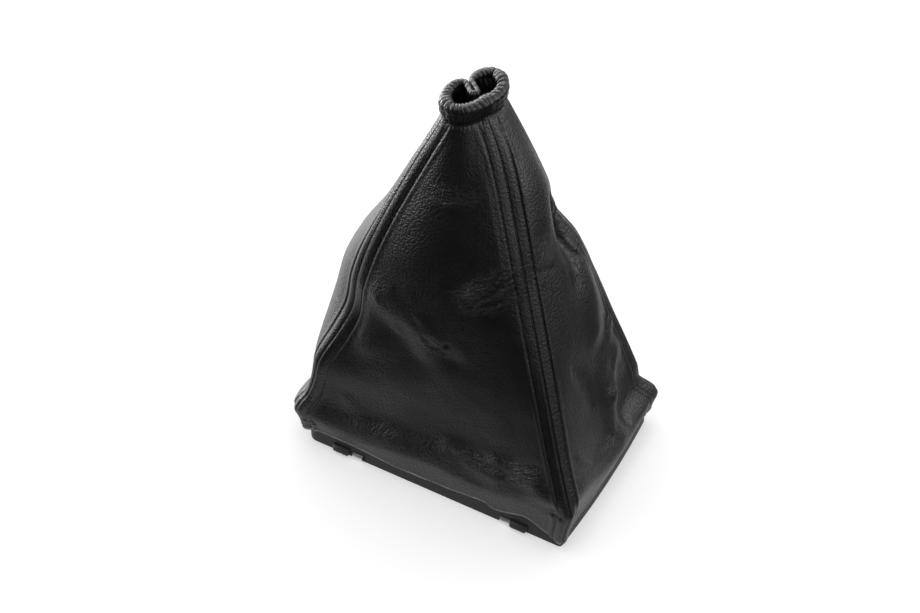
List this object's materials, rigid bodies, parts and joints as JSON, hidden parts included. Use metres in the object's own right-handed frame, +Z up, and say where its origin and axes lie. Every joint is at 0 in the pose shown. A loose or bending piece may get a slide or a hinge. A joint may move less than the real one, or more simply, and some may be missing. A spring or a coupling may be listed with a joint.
{
  "type": "gear lever gaiter",
  "caption": "Tapering leather cover of sewn panels, gathered round an elastic at the top and fixed round a plastic frame at the foot; it closes the gap round a gear lever.",
  "frame": {"origin": "on the floor, under the middle of the frame", "axes": "+X along the front panel to the right, +Y from the front panel to the back one, +Z up the gaiter"},
  "size_m": [0.1654, 0.106, 0.232],
  "materials": {
    "leather": "pebble grain, low sheen",
    "frame_plastic": "fine moulded texture",
    "clip_steel": "bright spring steel",
    "elastic": "woven band"
  },
  "bodies": {
    "root": {"base_frame": "frame_plastic", "front_left_clip": "clip_steel", "front_right_clip": "clip_steel", "back_left_clip": "clip_steel", "back_right_clip": "clip_steel", "front_panel": "leather", "right_panel": "leather", "back_panel": "leather", "left_panel": "leather", "collar_elastic": "elastic"}
  },
  "joints": []
}
